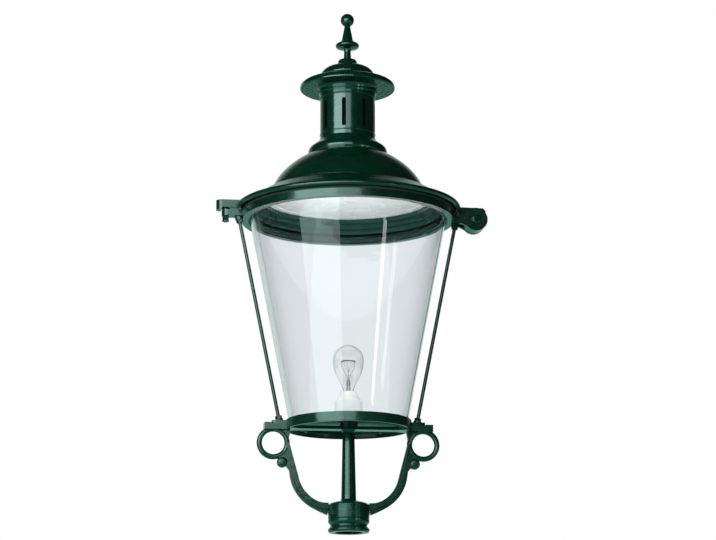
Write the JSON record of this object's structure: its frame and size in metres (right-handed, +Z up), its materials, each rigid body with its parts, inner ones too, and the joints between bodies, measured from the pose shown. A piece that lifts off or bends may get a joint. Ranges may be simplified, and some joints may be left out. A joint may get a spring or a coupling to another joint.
{
  "type": "post-top street lantern",
  "caption": "Old post-top street lantern: forked bracket, tapering round glass and a hinged domed roof with a vented chimney and a ball finial.",
  "frame": {"origin": "centre of the post socket's mouth, on the hub's foot", "axes": "+Z up along the lantern's axis, +X towards the roof's hinge, -X towards the latch, -Y towards the viewer of the picture"},
  "size_m": [0.605, 0.4998, 1.174],
  "materials": {
    "paint": "gloss dark green paint",
    "paint_dark": "satin dark green paint",
    "zinc": "zinc plated",
    "white_enamel": "white enamel",
    "glass": "clear, faint grey tint",
    "bulb_glass": "clear",
    "rubber": "matt",
    "porcelain": "white glaze",
    "brass": "satin",
    "nickel": "satin lamp cap",
    "wire": "insulated wire",
    "grey_plastic": "satin"
  },
  "bodies": {
    "base": {"fork_hub": "paint", "fork_arm_left": "paint", "fork_arm_right": "paint", "arm_screws": "zinc", "grub_screws": "zinc", "centre_stem": "paint", "stem_nut": "zinc", "cable_gland": "grey_plastic", "bottom_ring": "paint", "bottom_pan": "paint_dark", "pan_screws": "zinc", "bottom_gasket": "rubber", "glass_cone": "glass", "top_gasket": "rubber", "top_ring": "paint", "hood_gasket": "rubber", "stay_rod_left": "paint", "stay_rod_right": "paint", "stay_nuts": "paint", "hinge_pin": "paint", "hinge_nut": "paint", "lamp_plinth": "white_enamel", "plinth_screws": "zinc", "lampholder": "porcelain", "holder_contacts": "brass", "terminal_block": "grey_plastic", "lead_wires": "wire", "earth_screw": "brass"},
    "hood": {"roof_brim": "paint", "inner_skirt": "paint", "skirt_screws": "zinc", "reflector_plate": "white_enamel", "reflector_screws": "white_enamel", "roof_dome": "paint", "dome_bolts": "zinc", "shoulder_collar": "paint", "chimney": "paint", "chimney_liner": "paint_dark", "liner_screws": "zinc", "neck_ring": "paint", "vent_plate": "paint_dark", "cap_flange": "paint", "cap_dome": "paint", "finial": "paint", "tie_rod": "zinc", "tie_bridge": "zinc", "tie_nut": "zinc"},
    "latch": {"latch_bolt": "paint", "wing_handle": "paint", "latch_nut": "paint"},
    "lamp": {"lamp_cap": "nickel", "lamp_bulb": "bulb_glass", "lamp_mount": "bulb_glass"}
  },
  "joints": [
    {"name": "roof_hinge", "type": "hinge", "parent": "base", "child": "hood", "pos_m": [0.286, 0, 0.7], "axis": [0, 1, 0], "range_deg": [0, 100]},
    {"name": "latch_turn", "type": "hinge", "parent": "base", "child": "latch", "pos_m": [-0.272, 0, 0.7], "axis": [0, 0, 1], "range_deg": [0, 90]},
    {"name": "lamp_unscrew", "type": "slide", "parent": "base", "child": "lamp", "axis": [0, 0, 1], "range_m": [0, 0.028]}
  ]
}
